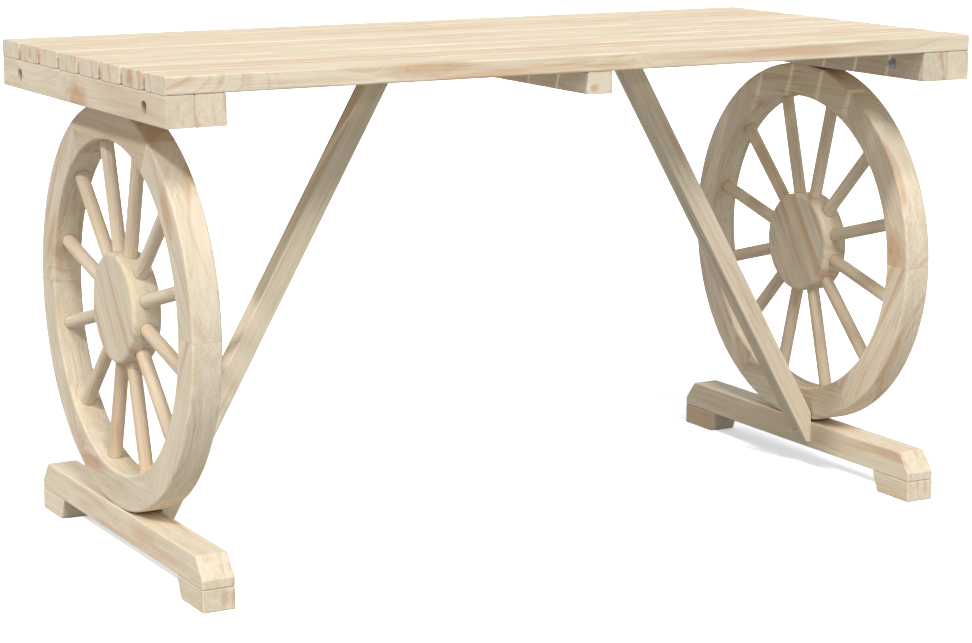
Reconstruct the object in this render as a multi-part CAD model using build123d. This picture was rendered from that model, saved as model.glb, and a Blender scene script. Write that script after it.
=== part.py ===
from build123d import *
import math
import os

os.makedirs("parts", exist_ok=True)

# Garden table of planed fir. Eight slats lie on battens, and the ends stand on two fixed spoked
# wheels. Each wheel is screwed between an inner rail above it and a foot beam below it.
# X runs along the table, Y across it with the front at -Y, and Z up from the floor.

# ---------------------------------------------------------------- driving dimensions, mm and degrees
table_length = 1150

slat_count = 8
slat_width = 62
slat_thickness = 22
slat_gap = 9
slat_edge_radius = 2.5

# How far the edges of the boards' sawn ends are sanded.
cut_edge_radius = 0.8

batten_height = 38
outer_batten_thickness = 35
batten_edge_radius = 2

middle_batten_width = 36
middle_batten_height = 28
middle_batten_setback = 1.5

# The inner rail, the wheel and the foot beam stand in line, the wheel a little thinner than both.
rail_thickness = 40
wheel_thickness = 39
foot_beam_width = 42

wheel_diameter = 512
wheel_seat_flat = 1
rim_depth = 46
rim_edge_radius = 3
# One felloe for each name, from the top round by the front.
felloe_names = ["top", "upper_front", "lower_front", "bottom", "lower_back", "upper_back"]
spokes_per_felloe = 2
spoke_diameter = 18
spoke_rim_tenon = 18
spoke_hub_tenon = 18
hub_diameter = 140
hub_edge_radius = 5
felloe_dowel_diameter = 10
felloe_dowel_length = 36

foot_beam_length = 550
foot_beam_height = 38
foot_chamfer_run = 21
foot_chamfer_drop = 26.5
foot_edge_radius = 2

pad_height = 28
pad_length = 80
pad_taper = 11.5
pad_edge_radius = 1.5

brace_width = 28
brace_thickness = 28
brace_reach = 306
brace_heel_height = 16
brace_toe_height = 10
brace_edge_radius = 2
brace_dowel_diameter = 8
brace_dowel_length = 28

screw_diameter = 4
screw_head_diameter = 8
screw_head_height = 2.5
screw_tip_length = 6
screw_tip_radius = 0.3
slat_screw_bite = 14
slat_screw_recess = 6
pad_screw_bite = 20
pad_screw_recess = 6
pad_screw_end_distance = 18
pad_screw_spacing = 32
wheel_screw_bite = 30
wheel_screw_recess = 4
wheel_screw_spacing = 44
brace_screw_bite = 20
brace_screw_grip = 12
brace_screw_height = 24

bolt_diameter = 6
bolt_head_diameter = 10
bolt_head_height = 6
bolt_recess_diameter = 16
bolt_recess_depth = 16
bolt_socket_width = 5
bolt_socket_depth = 3
bolt_end_length = 3
washer_diameter = 15
washer_thickness = 1.5
nut_width = 10
nut_height = 5
hexagon_sides = 6

curved_gap = 0.3
bore_end_gap = 1

# ---------------------------------------------------------------- sizes that follow
slat_pitch = slat_width + slat_gap
table_depth = slat_count * slat_width + (slat_count - 1) * slat_gap

pad_top = pad_height
foot_beam_top = pad_top + foot_beam_height
wheel_height = wheel_diameter - 2 * wheel_seat_flat
wheel_centre = foot_beam_top + wheel_height / 2
batten_bottom = foot_beam_top + wheel_height
batten_middle = batten_bottom + batten_height / 2
slat_bottom = batten_bottom + batten_height
slat_middle = slat_bottom + slat_thickness / 2
middle_batten_bottom = slat_bottom - middle_batten_height

half_length = table_length / 2
outer_batten_x = half_length - outer_batten_thickness / 2
rail_outer_x = half_length - outer_batten_thickness
leg_x = rail_outer_x - rail_thickness / 2
rail_inner_x = rail_outer_x - rail_thickness
foot_inner_x = leg_x - foot_beam_width / 2

rim_outer_radius = wheel_diameter / 2
rim_inner_radius = rim_outer_radius - rim_depth
rim_middle_radius = rim_outer_radius - rim_depth / 2
hub_radius = hub_diameter / 2
felloe_count = len(felloe_names)
spoke_count = felloe_count * spokes_per_felloe
felloe_angle = 360 / felloe_count
spoke_angle = felloe_angle / spokes_per_felloe
spoke_inner_end = hub_radius - spoke_hub_tenon
spoke_outer_end = rim_inner_radius + spoke_rim_tenon
spoke_length = spoke_outer_end - spoke_inner_end

brace_slat = slat_count // 2 - 1
brace_rise = slat_bottom - foot_beam_top - brace_heel_height
brace_slope = math.degrees(math.atan2(brace_rise, brace_reach))
brace_end_run = brace_thickness / math.sin(math.radians(brace_slope))
brace_top_outer_x = foot_inner_x - brace_reach
brace_top_inner_x = brace_top_outer_x - brace_end_run
brace_dowel_x = (brace_top_outer_x + brace_top_inner_x) / 2
brace_toe_z = pad_top + brace_toe_height

bolt_recess_x = half_length - bolt_recess_depth
bolt_seat_x = bolt_recess_x + washer_thickness
bolt_nut_x = rail_inner_x - washer_thickness
bolt_tip_x = bolt_nut_x - nut_height - bolt_end_length

sides = {"left": -1, "right": 1}
ends = {"front": -1, "back": 1}

# A solid with this alignment stands on its plane, over the plane's origin.
standing = (Align.CENTER, Align.CENTER, Align.MIN)


# ---------------------------------------------------------------- places
def slat_y(index):
    """Middle of a slat across the table, counted from the front."""
    return (index - (slat_count - 1) / 2) * slat_pitch


# Each bolt stands under the gap between the two slats nearest its end of the batten.
bolt_y = (slat_y(slat_count - 1) + slat_y(slat_count - 2)) / 2
brace_y = slat_y(brace_slat)


# ---------------------------------------------------------------- helpers
def upward(point):
    """A plane at a point that faces straight up."""
    return Plane(point, x_dir=(1, 0, 0), z_dir=(0, 0, 1))


def downward(point):
    """A plane at a point that faces straight down."""
    return Plane(point, x_dir=(1, 0, 0), z_dir=(0, 0, -1))


def outward(point, side):
    """A plane at a point that faces along X, towards the left or the right end."""
    return Plane(point, x_dir=(0, 1, 0), z_dir=(side, 0, 0))


def rod(plane, radius, length):
    """A round bar that starts on the plane and runs along its normal."""
    return extrude(plane * Circle(radius), amount=length)


def outline_edges(solid, axis):
    """The edges round the two flat faces at the ends of an extruded outline."""
    faces = solid.faces().sort_by(axis)
    return faces[0].edges() + faces[-1].edges()


def slat_board():
    """A planed board along the table, with rounded long edges and sanded ends."""
    section = Plane.YZ * RectangleRounded(slat_width, slat_thickness, slat_edge_radius)
    board = extrude(section, amount=table_length / 2, both=True)
    return fillet(outline_edges(board, Axis.X), radius=cut_edge_radius)


def cross_board(length, width, height):
    """A planed board across the table, with rounded long edges and sanded ends."""
    section = Plane.XZ * RectangleRounded(width, height, batten_edge_radius)
    board = extrude(section, amount=length / 2, both=True)
    return fillet(outline_edges(board, Axis.Y), radius=cut_edge_radius)


def on_wheel(angle, radius):
    """A plane in the wheel's middle that faces outwards at an angle from straight up."""
    turn = math.radians(angle)
    outwards = (0, -math.sin(turn), math.cos(turn))
    place = (0, radius * outwards[1], radius * outwards[2])
    return Plane(place, x_dir=(1, 0, 0), z_dir=outwards)


# ---------------------------------------------------------------- screws and their holes
def screw(seat, length):
    """A pan-head wood screw: the head's flat face lies on the seat and the point runs along it."""
    head = rod(seat, screw_head_diameter / 2, -screw_head_height)
    shank_length = length - screw_tip_length
    shank = rod(seat, screw_diameter / 2, shank_length)
    tip = Cone(screw_diameter / 2, screw_tip_radius, screw_tip_length, align=standing)
    return head + shank + seat.offset(shank_length) * tip


def screw_hole(seat, length, recess):
    """The pilot bore ahead of the seat and the head's recess behind it."""
    pilot = rod(seat, screw_diameter / 2 + curved_gap, length + bore_end_gap)
    head_room = rod(seat, screw_head_diameter / 2 + curved_gap, -recess)
    return pilot + head_room


slat_screw_length = batten_height - slat_screw_recess + slat_screw_bite
middle_screw_length = middle_batten_height - slat_screw_recess + slat_screw_bite
pad_screw_length = pad_height - pad_screw_recess + pad_screw_bite
rail_screw_length = batten_height - wheel_screw_recess + wheel_screw_bite
foot_screw_length = foot_beam_height - wheel_screw_recess + wheel_screw_bite
brace_screw_length = brace_screw_grip + brace_screw_bite


def slat_screw_seats(x):
    """One seat under each slat, inside the batten that stands at x."""
    seat_z = batten_bottom + slat_screw_recess
    return [upward((x, slat_y(index), seat_z)) for index in range(slat_count)]


def middle_screw_seats():
    """One seat under each slat, inside the middle batten."""
    seat_z = middle_batten_bottom + slat_screw_recess
    return [upward((0, slat_y(index), seat_z)) for index in range(slat_count)]


def pad_screw_seats(side, end):
    """The two seats inside one pad, in line along the foot beam."""
    outer = foot_beam_length / 2 - pad_screw_end_distance
    inner = outer - pad_screw_spacing
    return [upward((side * leg_x, end * y, pad_screw_recess)) for y in (outer, inner)]


def rail_screw_seats(side):
    """The two seats in the rail's top, for the screws down into the wheel."""
    seat_z = slat_bottom - wheel_screw_recess
    half = wheel_screw_spacing / 2
    return [downward((side * leg_x, y, seat_z)) for y in (-half, half)]


def foot_screw_seats(side):
    """The two seats in the foot beam's underside, for the screws up into the wheel."""
    seat_z = pad_top + wheel_screw_recess
    half = wheel_screw_spacing / 2
    return [upward((side * leg_x, y, seat_z)) for y in (-half, half)]


def brace_screw_seat(side):
    """The seat in the brace's toe, for the screw into the foot beam's inner face."""
    seat_x = foot_inner_x - brace_screw_grip
    return outward((side * seat_x, brace_y, pad_top + brace_screw_height), side)


def holes(seats, length, recess):
    """The holes for a row of screws of one length."""
    return [screw_hole(seat, length, recess) for seat in seats]


# ---------------------------------------------------------------- bolts
def bolt_holes(side):
    """The bores through outer batten and rail, with the recess for each bolt's head."""
    cut = []
    for end in ends.values():
        floor = outward((side * bolt_recess_x, end * bolt_y, batten_middle), side)
        cut.append(rod(floor, bolt_recess_diameter / 2, bolt_recess_depth))
        cut.append(rod(floor, bolt_diameter / 2 + curved_gap, bolt_tip_x - bolt_recess_x))
    return cut


def bolt(side, end):
    """A socket-head bolt, head outwards."""
    seat = outward((side * bolt_seat_x, end * bolt_y, batten_middle), side)
    head = rod(seat, bolt_head_diameter / 2, bolt_head_height)
    shank = rod(seat, bolt_diameter / 2, bolt_tip_x - bolt_seat_x)
    socket_face = seat.offset(bolt_head_height)
    hexagon = RegularPolygon(bolt_socket_width / 2, hexagon_sides, major_radius=False)
    socket = extrude(socket_face * hexagon, amount=-bolt_socket_depth)
    return head + shank - socket


def washer(x, side, end):
    """A flat washer that starts at x and grows outwards by its thickness."""
    face = outward((side * x, end * bolt_y, batten_middle), side)
    ring = Circle(washer_diameter / 2) - Circle(bolt_diameter / 2 + curved_gap)
    return extrude(face * ring, amount=washer_thickness)


def head_washer(side, end):
    """The washer under a bolt's head, on the floor of its recess."""
    return washer(bolt_recess_x, side, end)


def nut_washer(side, end):
    """The washer between a nut and the rail's inner face."""
    return washer(bolt_nut_x, side, end)


def nut(side, end):
    """A hexagon nut against the washer."""
    face = outward((side * bolt_nut_x, end * bolt_y, batten_middle), side)
    hexagon = RegularPolygon(nut_width / 2, hexagon_sides, major_radius=False)
    ring = hexagon - Circle(bolt_diameter / 2 + curved_gap)
    return extrude(face * ring, amount=-nut_height)


# ---------------------------------------------------------------- top
def top_slat(index):
    """One slat along the table, with the screws' and braces' holes in its underside."""
    board = Pos(0, slat_y(index), slat_middle) * slat_board()
    for side in sides.values():
        seat = slat_screw_seats(side * outer_batten_x)[index]
        board -= screw_hole(seat, slat_screw_length, slat_screw_recess)
        if index == brace_slat:
            board -= brace_dowel(side, curved_gap)
    board -= screw_hole(middle_screw_seats()[index], middle_screw_length, slat_screw_recess)
    return board


def outer_batten(side):
    """The end board, flush with the slats' ends."""
    board = cross_board(table_depth, outer_batten_thickness, batten_height)
    board = Pos(side * outer_batten_x, 0, batten_middle) * board
    seats = slat_screw_seats(side * outer_batten_x)
    return board - holes(seats, slat_screw_length, slat_screw_recess) - bolt_holes(side)


def inner_rail(side):
    """The board behind the outer batten, which stands on the wheel."""
    board = cross_board(table_depth, rail_thickness, batten_height)
    board = Pos(side * leg_x, 0, batten_middle) * board
    screws = holes(rail_screw_seats(side), rail_screw_length, wheel_screw_recess)
    return board - screws - bolt_holes(side)


def middle_batten():
    """The lower batten under the slats' middle, a little short of the front and back."""
    length = table_depth - 2 * middle_batten_setback
    middle_z = middle_batten_bottom + middle_batten_height / 2
    board = Pos(0, 0, middle_z) * cross_board(length, middle_batten_width, middle_batten_height)
    return board - holes(middle_screw_seats(), middle_screw_length, slat_screw_recess)


# ---------------------------------------------------------------- wheel, in its own middle
def wheel_place(side):
    """Where a wheel's middle stands."""
    return Pos(side * leg_x, 0, wheel_centre)


def felloe_dowel(joint, clearance):
    """The dowel across a joint between two felloes, or its bore with a clearance."""
    joint_angle = (joint + 1 / 2) * felloe_angle
    middle = on_wheel(joint_angle, rim_middle_radius)
    along = Plane(middle.origin, x_dir=(1, 0, 0), z_dir=middle.y_dir)
    start = along.offset(-felloe_dowel_length / 2)
    return rod(start, felloe_dowel_diameter / 2 + clearance, felloe_dowel_length)


def spoke(number, clearance):
    """One round spoke with its tenons, or its sockets with a clearance."""
    angle = (number + 1 / 2) * spoke_angle
    return rod(on_wheel(angle, spoke_inner_end), spoke_diameter / 2 + clearance, spoke_length)


def felloe_spokes(index):
    """The numbers of the spokes that stand in one felloe."""
    first = spokes_per_felloe * index - spokes_per_felloe // 2
    return range(first, first + spokes_per_felloe)


def felloe(index):
    """One sawn segment of the rim, with softened edges, sockets and dowel bores."""
    section = RectangleRounded(wheel_thickness, rim_depth, rim_edge_radius)
    section = Plane.XZ * Pos(0, rim_middle_radius) * section
    segment = revolve(section, axis=Axis.X, revolution_arc=felloe_angle)
    segment = Rot(index * felloe_angle - felloe_angle / 2, 0, 0) * segment
    segment -= [spoke(number, curved_gap) for number in felloe_spokes(index)]
    segment -= [felloe_dowel(joint, curved_gap) for joint in (index - 1, index)]
    return segment


def wheel_seats():
    """The flats sawn on the rim where it meets the rail and the foot beam."""
    reach = rim_outer_radius - wheel_seat_flat
    chip = Box(2 * wheel_thickness, wheel_diameter, 2 * wheel_seat_flat, align=standing)
    return [Pos(0, 0, reach) * chip, Pos(0, 0, -reach) * Rot(180, 0, 0) * chip]


def placed_felloe(side, index):
    """A felloe in its wheel, with the seat flats and the screws' bores."""
    segment = wheel_place(side) * (felloe(index) - wheel_seats())
    segment -= holes(rail_screw_seats(side), rail_screw_length, wheel_screw_recess)
    segment -= holes(foot_screw_seats(side), foot_screw_length, wheel_screw_recess)
    return segment


def hub():
    """The solid drum that the spokes stand in."""
    drum = extrude(Plane.YZ * Circle(hub_radius), amount=wheel_thickness / 2, both=True)
    drum = fillet(drum.edges().filter_by(GeomType.CIRCLE), radius=hub_edge_radius)
    return drum - [spoke(number, curved_gap) for number in range(spoke_count)]


# ---------------------------------------------------------------- feet
def foot_beam(side):
    """The beam under the wheel, with its top corners sawn off at both ends."""
    half = foot_beam_length / 2
    chamfer_start = half - foot_chamfer_run
    chamfer_bottom = foot_beam_top - foot_chamfer_drop
    corners = [
        (-half, pad_top),
        (-half, chamfer_bottom),
        (-chamfer_start, foot_beam_top),
        (chamfer_start, foot_beam_top),
        (half, chamfer_bottom),
        (half, pad_top),
    ]
    outline = make_face(Polyline(*corners, close=True))
    beam = extrude(Plane.YZ * outline, amount=foot_beam_width / 2, both=True)
    beam = fillet(beam.edges(), radius=foot_edge_radius)
    beam = Pos(side * leg_x, 0, 0) * beam
    beam -= holes(foot_screw_seats(side), foot_screw_length, wheel_screw_recess)
    for end in ends.values():
        beam -= holes(pad_screw_seats(side, end), pad_screw_length, pad_screw_recess)
    return beam - brace_screw_hole(side)


def pad(side, end):
    """A block under one end of a foot beam, cut under at its inner end."""
    half = foot_beam_length / 2
    corners = [
        (end * half, 0),
        (end * half, pad_top),
        (end * (half - pad_length), pad_top),
        (end * (half - pad_length + pad_taper), 0),
    ]
    outline = make_face(Polyline(*corners, close=True))
    block = extrude(Plane.YZ * outline, amount=foot_beam_width / 2, both=True)
    block = fillet(block.edges(), radius=pad_edge_radius)
    block = Pos(side * leg_x, 0, 0) * block
    return block - holes(pad_screw_seats(side, end), pad_screw_length, pad_screw_recess)


# ---------------------------------------------------------------- braces
def brace_dowel(side, clearance):
    """The dowel between a brace's top and its slat, or its bore with a clearance."""
    start = upward((side * brace_dowel_x, brace_y, slat_bottom - brace_dowel_length / 2))
    return rod(start, brace_dowel_diameter / 2 + clearance, brace_dowel_length)


def brace_screw_hole(side):
    """The toe screw's bore, with room for its head right out of the brace's underside."""
    return screw_hole(brace_screw_seat(side), brace_screw_length, brace_reach)


def brace(side):
    """A slanting strut from the foot beam's inner face up to the underside of a slat."""
    toe_run = (slat_bottom - brace_toe_z) / math.tan(math.radians(brace_slope))
    corners = [
        (side * brace_top_inner_x, slat_bottom),
        (side * brace_top_outer_x, slat_bottom),
        (side * foot_inner_x, foot_beam_top + brace_heel_height),
        (side * foot_inner_x, brace_toe_z),
        (side * (brace_top_inner_x + toe_run), brace_toe_z),
    ]
    outline = make_face(Polyline(*corners, close=True))
    strut = extrude(Plane.XZ * outline, amount=brace_width / 2, both=True)
    long_edges = [edge for edge in outline_edges(strut, Axis.Y) if edge.length > brace_reach]
    strut = Pos(0, brace_y, 0) * fillet(long_edges, radius=brace_edge_radius)
    strut -= brace_dowel(side, curved_gap)
    return strut - brace_screw_hole(side)


# ---------------------------------------------------------------- fasteners, one group to a node
def slat_screws():
    """The screws up into the slats, through the outer battens and the middle batten."""
    group = [screw(seat, middle_screw_length) for seat in middle_screw_seats()]
    for side in sides.values():
        group += [screw(seat, slat_screw_length) for seat in slat_screw_seats(side * outer_batten_x)]
    return group


def wheel_screws():
    """The screws that hold each wheel to its rail and to its foot beam."""
    group = []
    for side in sides.values():
        group += [screw(seat, rail_screw_length) for seat in rail_screw_seats(side)]
        group += [screw(seat, foot_screw_length) for seat in foot_screw_seats(side)]
    return group


def pad_screws():
    """The screws up through the pads."""
    group = []
    for side in sides.values():
        for end in ends.values():
            group += [screw(seat, pad_screw_length) for seat in pad_screw_seats(side, end)]
    return group


def brace_screws():
    """The screw through each brace's toe."""
    return [screw(brace_screw_seat(side), brace_screw_length) for side in sides.values()]


def at_each_corner(make):
    """One piece at each bolt."""
    return [make(side, end) for side in sides.values() for end in ends.values()]


# ---------------------------------------------------------------- writing
def write(name, solids):
    """One STEP file, of a single solid or of a group of separate ones."""
    group = solids if isinstance(solids, list) else [solids]
    export_step(Compound(children=[solid.solid() for solid in group], label=name), f"parts/{name}.step")


def write_wheel(name, side):
    """A wheel's felloes, spokes, dowels and hub."""
    place = wheel_place(side)
    for index, position in enumerate(felloe_names):
        spokes = [place * spoke(number, 0) for number in felloe_spokes(index)]
        write(f"{name}_wheel_felloe_{position}", placed_felloe(side, index))
        write(f"{name}_wheel_spokes_{position}", spokes)
    dowels = [place * felloe_dowel(joint, 0) for joint in range(felloe_count)]
    write(f"{name}_wheel_felloe_dowels", dowels)
    write(f"{name}_wheel_hub", place * hub())


for slat_index in range(slat_count):
    write(f"top_slat_{slat_index + 1}", top_slat(slat_index))
write("middle_batten", middle_batten())
for side_name, side_sign in sides.items():
    write(f"{side_name}_outer_batten", outer_batten(side_sign))
    write(f"{side_name}_inner_rail", inner_rail(side_sign))
    write(f"{side_name}_brace", brace(side_sign))
    write(f"{side_name}_foot_beam", foot_beam(side_sign))
    for end_name, end_sign in ends.items():
        write(f"{side_name}_{end_name}_foot_pad", pad(side_sign, end_sign))
    write_wheel(side_name, side_sign)
write("slat_screws", slat_screws())
write("wheel_screws", wheel_screws())
write("foot_pad_screws", pad_screws())
write("brace_screws", brace_screws())
write("brace_dowels", [brace_dowel(side_sign, 0) for side_sign in sides.values()])
write("rail_bolts", at_each_corner(bolt))
write("rail_washers", at_each_corner(head_washer) + at_each_corner(nut_washer))
write("rail_nuts", at_each_corner(nut))
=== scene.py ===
import math

import bpy
import numpy as np
from bpy.props import FloatProperty, FloatVectorProperty, PointerProperty
from mathutils import Matrix, Vector


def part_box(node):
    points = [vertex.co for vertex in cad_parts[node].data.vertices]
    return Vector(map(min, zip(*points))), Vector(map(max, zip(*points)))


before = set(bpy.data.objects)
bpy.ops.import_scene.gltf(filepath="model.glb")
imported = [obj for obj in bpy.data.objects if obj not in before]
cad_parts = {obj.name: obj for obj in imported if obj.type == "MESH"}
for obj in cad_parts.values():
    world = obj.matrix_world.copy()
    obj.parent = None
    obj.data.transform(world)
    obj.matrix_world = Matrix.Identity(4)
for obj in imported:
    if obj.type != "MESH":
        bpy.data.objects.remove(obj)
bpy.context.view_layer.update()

bl_info = {
    "name": "Wagon Wheel Table Finishes",
    "version": (1, 0, 0),
    "blender": (4, 5, 0),
    "location": "View3D > Sidebar > Wheel Table",
    "description": "Raw fir and zinc finishes and a studio stage, for a slatted table on wagon wheels",
    "category": "Material",
}

MM = 0.001
SIDES = ("left", "right")
FELLOES = ("top", "upper_front", "lower_front", "bottom", "lower_back", "upper_back")
FELLOE_ANGLE = math.radians(360 / len(FELLOES))
ALONG_TABLE = Vector((1, 0, 0))
ALONG_FOOT = Vector((0, 1, 0))
UP = Vector((0, 0, 1))

# How much of the joint line's colour shows in glued and mitred joints, and how much of it is laid as
# painted shade inside a drilled recess and in the crevices where pieces meet.
GLUE_DARKNESS = 0.25
MITRE_DARKNESS = 0.35
BORE_PAINTED_SHADE = 0.22
CREVICE_PAINTED_SHADE = 0.60
GLUE_HALF_WIDTH = 0.35 * MM
BORE_RIM_WIDTH = 0.5 * MM
# A knot's edge is soft over twice the first and strays by up to the second.
KNOT_EDGE = 3 * MM
KNOT_RAGGEDNESS = 5 * MM
# How far rings and fibres stand out of the planed face, how plainly that shows, and the gloss.
RING_RELIEF = 0.2 * MM
RELIEF_STRENGTH = 0.25
WOOD_GLOSS = 0.3
# Good and bad years: how quickly they change, and by how many years' growth they shift the rings.
# Zones of pink wood change about as quickly.
WEATHER_SCALE = 0.31
WEATHER_SHIFT = 3.0
ZONE_SCALE = 0.27
# Lengths glued together: how far apart they lie in the pattern, and how much darker or paler than
# the piece's own tone they may be.
LENGTH_STEP = 1.73
LENGTH_DARKER, LENGTH_PALER = 0.05, 0.02
# The clouds in zinc plating: how dark they are, and how much smoother or duller the metal gets.
ZINC_CLOUD = 0.72
ZINC_SMOOTHER, ZINC_DULLER = 0.08, 0.10
SENSOR_WIDTH = 36


def linear(colour):
    """An sRGB hex colour such as #F2E4C8 as linear red, green and blue."""
    parts = [int(colour[i:i + 2], 16) / 255 for i in (1, 3, 5)]
    return tuple(c / 12.92 if c <= 0.04045 else ((c + 0.055) / 1.055) ** 2.4 for c in parts)


def rgba(colour):
    """The same with an alpha of 1, from a hex colour or from a colour property."""
    return (*(linear(colour) if isinstance(colour, str) else colour), 1)


def colour_property(name, description, hex_value):
    return FloatVectorProperty(name=name, description=description, subtype="COLOR", size=3,
                               min=0, max=1, default=linear(hex_value))


def length_property(name, description, millimetres):
    return FloatProperty(name=name, description=description, unit="LENGTH",
                         precision=4, min=0, default=millimetres * MM)


def factor_property(name, description, default, highest=1.0):
    return FloatProperty(name=name, description=description, subtype="FACTOR",
                         min=0, max=highest, default=default)


class WHEELTABLE_PG_fir(bpy.types.PropertyGroup):
    # Real fibres are some 0.03 mm wide and the orange lines under 1 mm: too fine to show, so both
    # are drawn as coarse as they need to show. The rings are those of fast-grown wood.
    earlywood: colour_property("Earlywood", "Pale wood that grows in spring", "#F8EACF")
    latewood: colour_property("Latewood", "Narrow darker line that ends each year's ring", "#D6AC80")
    heartwood: colour_property("Heartwood", "Pinkish wood near the middle of the log", "#DDB286")
    sapwood: colour_property("Sapwood", "Cooler pale wood from the outside of the log", "#EFE1BE")
    knot: colour_property("Knot", "Reddish brown of a small branch sawn across", "#9A5A33")
    joint: colour_property("Joint line", "Shadow and glue in a closed joint", "#6E5238")
    ring_spacing: length_property("Ring spacing", "Width of one year's growth", 3.6)
    fibre_spacing: length_property("Fibre spacing", "Width of the fine lines along the grain", 1.6)
    streak_width: length_property("Streak width", "Width of the broad changes of tone", 26)
    joint_width: length_property("Joint width", "Width of the dark line in a closed joint", 0.9)
    # Painted shade: how far the darkening of crevices, found by ambient occlusion, reaches out of a joint.
    crevice_shade_depth: length_property("Crevice depth", "How far dust and shadow reach out of a joint", 5)
    ring_contrast: factor_property("Ring contrast", "How strongly the latewood shows", 0.42)
    vein_width: length_property("Vein width", "Width of the narrow orange lines along the grain", 2.6)
    vein_contrast: factor_property("Vein contrast", "How strongly the orange lines show", 0.62)
    roughness: factor_property("Roughness", "Dullness of planed, bare wood", 0.62)


class WHEELTABLE_PG_zinc(bpy.types.PropertyGroup):
    colour: colour_property("Zinc", "Bluish grey of bright zinc plating", "#BCBEC0")
    grain: length_property("Plating grain", "Size of the cloudy patches in the plating", 2.5)
    roughness: factor_property("Roughness", "Dullness of the plating", 0.58)


class WHEELTABLE_PG_stage(bpy.types.PropertyGroup):
    floor_size: FloatProperty(name="Floor size", description="Side of the square floor",
                              unit="LENGTH", default=30)
    floor_bounce: factor_property("Floor bounce", "Light that the floor sends back to the table", 0.35)
    floor_white: factor_property("Floor white", "Floor tone that only the camera sees", 2.8, 3)
    floor_tint: colour_property("Floor tint", "Cool tint that keeps the shadow on the floor grey",
                                "#F6FBFF")
    sky: factor_property("Sky", "Strength of the even light from the walls of the room", 0.95)
    overhead: factor_property("Overhead", "Even light from straight above, against that from the walls",
                              0.2)
    sky_tint: colour_property("Sky tint", "Cool colour of the even light", "#E8EAF0")
    key: FloatProperty(name="Key lamp", description="Strength of the lamp on the left", default=1.30)
    fill: FloatProperty(name="Fill lamp", description="Strength of the lamp in front", default=1.45)
    key_spread: FloatProperty(name="Key spread", description="Apparent size of the lamp on the left",
                              subtype="ANGLE", default=math.radians(5))
    fill_spread: FloatProperty(name="Fill spread", description="Apparent size of the lamp in front",
                               subtype="ANGLE", default=math.radians(16))
    key_from: FloatVectorProperty(name="Key from", description="Direction of the lamp on the left",
                                  subtype="DIRECTION", default=(-0.95, -0.32, 1.0))
    fill_from: FloatVectorProperty(name="Fill from", description="Direction of the lamp in front",
                                   subtype="DIRECTION", default=(-0.20, -1.20, 1.0))
    camera_place: FloatVectorProperty(name="Camera", description="Where the camera stands",
                                      subtype="TRANSLATION", default=(-1.6938, -3.0380, 0.9370))
    camera_yaw: FloatProperty(name="Camera yaw", description="Turn from straight ahead to the right",
                              subtype="ANGLE", default=math.radians(29.04))
    camera_pitch: FloatProperty(name="Camera pitch", description="Tilt below the level",
                                subtype="ANGLE", default=math.radians(11.13))
    lens: FloatProperty(name="Lens", description="Focal length in millimetres on a 36 mm sensor",
                        default=97.41)


class WHEELTABLE_PG_settings(bpy.types.PropertyGroup):
    fir: PointerProperty(type=WHEELTABLE_PG_fir, name="Fir", description="Bare planed fir")
    zinc: PointerProperty(type=WHEELTABLE_PG_zinc, name="Zinc", description="Zinc-plated steel")
    stage: PointerProperty(type=WHEELTABLE_PG_stage, name="Stage", description="Floor, lamps and camera")


def settings():
    return bpy.context.scene.wheel_table


def node(tree, kind, inputs=None, **options):
    """Adds one node. Options are its settings; inputs maps a socket's name or number to a value,
    or to an output socket that is linked there."""
    made = tree.nodes.new(kind)
    for option, value in options.items():
        setattr(made, option, value)
    for key, value in (inputs or {}).items():
        if isinstance(value, bpy.types.NodeSocket):
            tree.links.new(value, made.inputs[key])
        else:
            made.inputs[key].default_value = value
    return made


def group_tree(name, inputs, outputs):
    """A node group with the given (name, type, default) inputs and (name, type) outputs."""
    tree = bpy.data.node_groups.new(name, "ShaderNodeTree")
    for label, kind, default in inputs:
        socket = tree.interface.new_socket(label, in_out="INPUT", socket_type=kind)
        if default is not None:
            socket.default_value = default
    for label, kind in outputs:
        tree.interface.new_socket(label, in_out="OUTPUT", socket_type=kind)
    return tree, node(tree, "NodeGroupInput"), node(tree, "NodeGroupOutput")


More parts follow.
